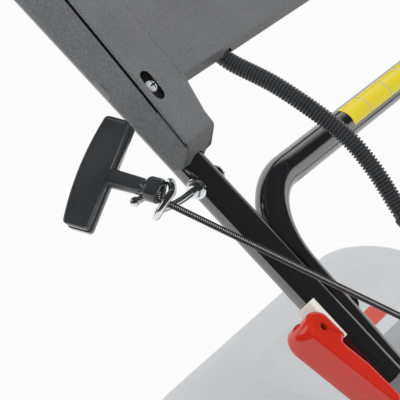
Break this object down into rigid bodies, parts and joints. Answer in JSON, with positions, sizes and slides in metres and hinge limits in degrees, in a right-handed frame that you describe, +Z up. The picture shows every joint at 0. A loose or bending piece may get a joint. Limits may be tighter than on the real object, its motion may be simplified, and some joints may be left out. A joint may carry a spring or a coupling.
{
  "type": "self-propelled lawn mower",
  "caption": "Walk-behind self-propelled petrol lawn mower with a folding handle on cam clamps, pull starter, control bails, rear grass box and height-set axles.",
  "frame": {"origin": "on the ground, under the middle of the mower's footprint", "axes": "+X forwards, +Y to the mower's left, +Z up"},
  "size_m": [1.6425, 0.6066, 1.0401],
  "materials": {
    "red_enamel": "glossy stove enamel",
    "black_enamel": "glossy black powder coat",
    "zinc": "bright zinc plate",
    "steel": "plain steel",
    "cast_alloy": "cast, matt",
    "black_plastic": "fine grain",
    "grey_plastic": "fine grain",
    "gloss_black_plastic": "gloss",
    "pale_grey_plastic": "satin",
    "red_plastic": "gloss",
    "rubber": "matt",
    "tyre": "matt",
    "braided_rope": "braided",
    "cream_enamel": "gloss"
  },
  "bodies": {
    "mower": {"deck_shell": "red_enamel", "discharge_chute": "black_plastic", "handle_bracket_right": "black_enamel", "handle_bracket_left": "black_enamel", "handle_bolt_right": "zinc", "handle_bolt_left": "zinc", "lower_handle": "black_enamel", "engine_block": "cast_alloy", "engine_cowl": "black_plastic", "recoil_cover": "black_plastic", "fuel_tank": "black_plastic", "air_filter_cover": "black_plastic", "muffler": "steel", "spark_plug_boot": "rubber", "starter_rope": "braided_rope", "control_cables": "rubber", "drive_belt": "rubber"},
    "upper_handle": {"upper_handle": "black_enamel", "clamp_bolt_right": "zinc", "clamp_bolt_left": "zinc", "clamp_saddle_right": "cream_enamel", "clamp_saddle_left": "cream_enamel", "console_shell": "grey_plastic", "console_screw_right": "zinc", "console_screw_left": "zinc", "handle_grip": "rubber", "rope_guide": "zinc", "cable_conduit": "black_plastic"},
    "cam_right": {"cam_lever_right": "red_plastic"},
    "cam_left": {"cam_lever_left": "red_plastic"},
    "brake_bail": {"brake_bail": "black_enamel"},
    "drive_bail": {"drive_bail": "black_enamel"},
    "throttle_lever": {"throttle_lever": "red_plastic"},
    "starter_handle": {"starter_handle": "gloss_black_plastic"},
    "starter_reel": {"starter_reel": "black_plastic"},
    "crank_train": {"crankshaft": "steel", "flywheel": "cast_alloy", "blade": "steel", "blade_bolt": "zinc"},
    "rear_carrier": {"rear_axle_carrier": "zinc", "height_lever": "black_plastic", "gearbox": "cast_alloy"},
    "rear_wheels": {"rear_axle": "steel", "rim_rear_right": "black_plastic", "tyre_rear_right": "tyre", "rim_rear_left": "black_plastic", "tyre_rear_left": "tyre"},
    "gearbox_pulley": {"gearbox_pulley": "steel"},
    "front_axle": {"front_axle": "zinc"},
    "front_wheel_right": {"rim_front_right": "black_plastic", "tyre_front_right": "tyre"},
    "front_wheel_left": {"rim_front_left": "black_plastic", "tyre_front_left": "tyre"},
    "rear_flap": {"rear_flap": "black_plastic"},
    "grass_box": {"grass_box_base": "black_plastic", "grass_box_lid": "pale_grey_plastic", "lid_handle": "red_plastic"},
    "fuel_cap": {"fuel_cap": "black_plastic"},
    "oil_cap": {"oil_cap": "black_plastic"},
    "primer_bulb": {"primer_bulb": "rubber"}
  },
  "joints": [
    {"name": "handle_fold", "type": "hinge", "parent": "mower", "child": "upper_handle", "pos_m": [-0.26939, 0, 0.5565], "axis": [0, 1, 0], "range_deg": [0, 135], "deforming": ["starter_rope", "cable_conduit", "control_cables"]},
    {"name": "cam_right_turn", "type": "hinge", "parent": "upper_handle", "child": "cam_right", "pos_m": [-0.26939, -0.2453, 0.5565], "axis": [-0.632, 0, -0.7749], "range_deg": [0, 100]},
    {"name": "cam_left_turn", "type": "hinge", "parent": "upper_handle", "child": "cam_left", "pos_m": [-0.26939, 0.2453, 0.5565], "axis": [0.632, 0, 0.7749], "range_deg": [0, 100]},
    {"name": "brake_bail_turn", "type": "hinge", "parent": "upper_handle", "child": "brake_bail", "pos_m": [-0.63362, 0, 0.85355], "axis": [0, -1, 0], "range_deg": [0, 18], "stiffness_Nm_per_rad": 2.5, "springref_deg": -20.05},
    {"name": "drive_bail_turn", "type": "hinge", "parent": "upper_handle", "child": "drive_bail", "pos_m": [-0.61657, 0, 0.83965], "axis": [0, 1, 0], "range_deg": [0, 22], "stiffness_Nm_per_rad": 1.5, "springref_deg": -14.32},
    {"name": "throttle_turn", "type": "hinge", "parent": "upper_handle", "child": "throttle_lever", "pos_m": [-0.46485, -0.05, 0.73139], "axis": [0, 1, 0], "range_deg": [-25, 25]},
    {"name": "starter_pull", "type": "slide", "parent": "upper_handle", "child": "starter_handle", "axis": [-0.8884, -0.2528, 0.3832], "range_m": [0, 0.6], "stiffness_N_per_m": 20, "springref_m": -0.15},
    {"name": "reel_turn", "type": "hinge", "parent": "mower", "child": "starter_reel", "pos_m": [0.43631, 0, 0.3305], "axis": [0, 0, -1], "range_deg": [0, 900]},
    {"name": "crank_spin", "type": "hinge", "parent": "mower", "child": "crank_train", "pos_m": [0.43631, 0, 0.0803], "axis": [0, 0, 1], "continuous": true},
    {"name": "height_adjust", "type": "hinge", "parent": "mower", "child": "rear_carrier", "pos_m": [0.22631, 0, 0.143], "axis": [0, -1, 0], "range_deg": [0, 20], "deforming": ["drive_belt"]},
    {"name": "front_height", "type": "hinge", "parent": "mower", "child": "front_axle", "pos_m": [0.66631, 0, 0.135], "axis": [0, 1, 0], "range_deg": [0, 20]},
    {"name": "rear_wheels_spin", "type": "hinge", "parent": "rear_carrier", "child": "rear_wheels", "pos_m": [0.16631, 0, 0.115], "axis": [0, 1, 0], "continuous": true},
    {"name": "gearbox_pulley_spin", "type": "hinge", "parent": "rear_carrier", "child": "gearbox_pulley", "pos_m": [0.16631, 0, 0.159], "axis": [0, 0, 1], "continuous": true},
    {"name": "front_wheel_right_spin", "type": "hinge", "parent": "front_axle", "child": "front_wheel_right", "pos_m": [0.72631, -0.2605, 0.095], "axis": [0, 1, 0], "continuous": true},
    {"name": "front_wheel_left_spin", "type": "hinge", "parent": "front_axle", "child": "front_wheel_left", "pos_m": [0.72631, 0.2605, 0.095], "axis": [0, 1, 0], "continuous": true},
    {"name": "rear_flap_lift", "type": "hinge", "parent": "mower", "child": "rear_flap", "pos_m": [0.11631, 0, 0.3135], "axis": [0, 1, 0], "range_deg": [0, 75]},
    {"name": "grass_box_pull", "type": "slide", "parent": "mower", "child": "grass_box", "axis": [-1, 0, 0], "range_m": [0, 0.3]},
    {"name": "fuel_cap_turn", "type": "hinge", "parent": "mower", "child": "fuel_cap", "pos_m": [0.38131, 0.1575, 0.3183], "axis": [0, 0, 1], "range_deg": [0, 90]},
    {"name": "oil_cap_turn", "type": "hinge", "parent": "mower", "child": "oil_cap", "pos_m": [0.38831, -0.15, 0.221], "axis": [-0.1778, -0.9679, 0.1778], "range_deg": [0, 90]},
    {"name": "primer_push", "type": "slide", "parent": "mower", "child": "primer_bulb", "axis": [0, -1, 0], "range_m": [0, 0.003], "stiffness_N_per_m": 300}
  ],
  "couplings": [
    {"joint": "reel_turn", "follows": "starter_pull", "rad_per_m": 24.096},
    {"joint": "front_height", "follows": "height_adjust", "ratio": 1},
    {"joint": "gearbox_pulley_spin", "follows": "rear_wheels_spin", "ratio": 12}
  ]
}
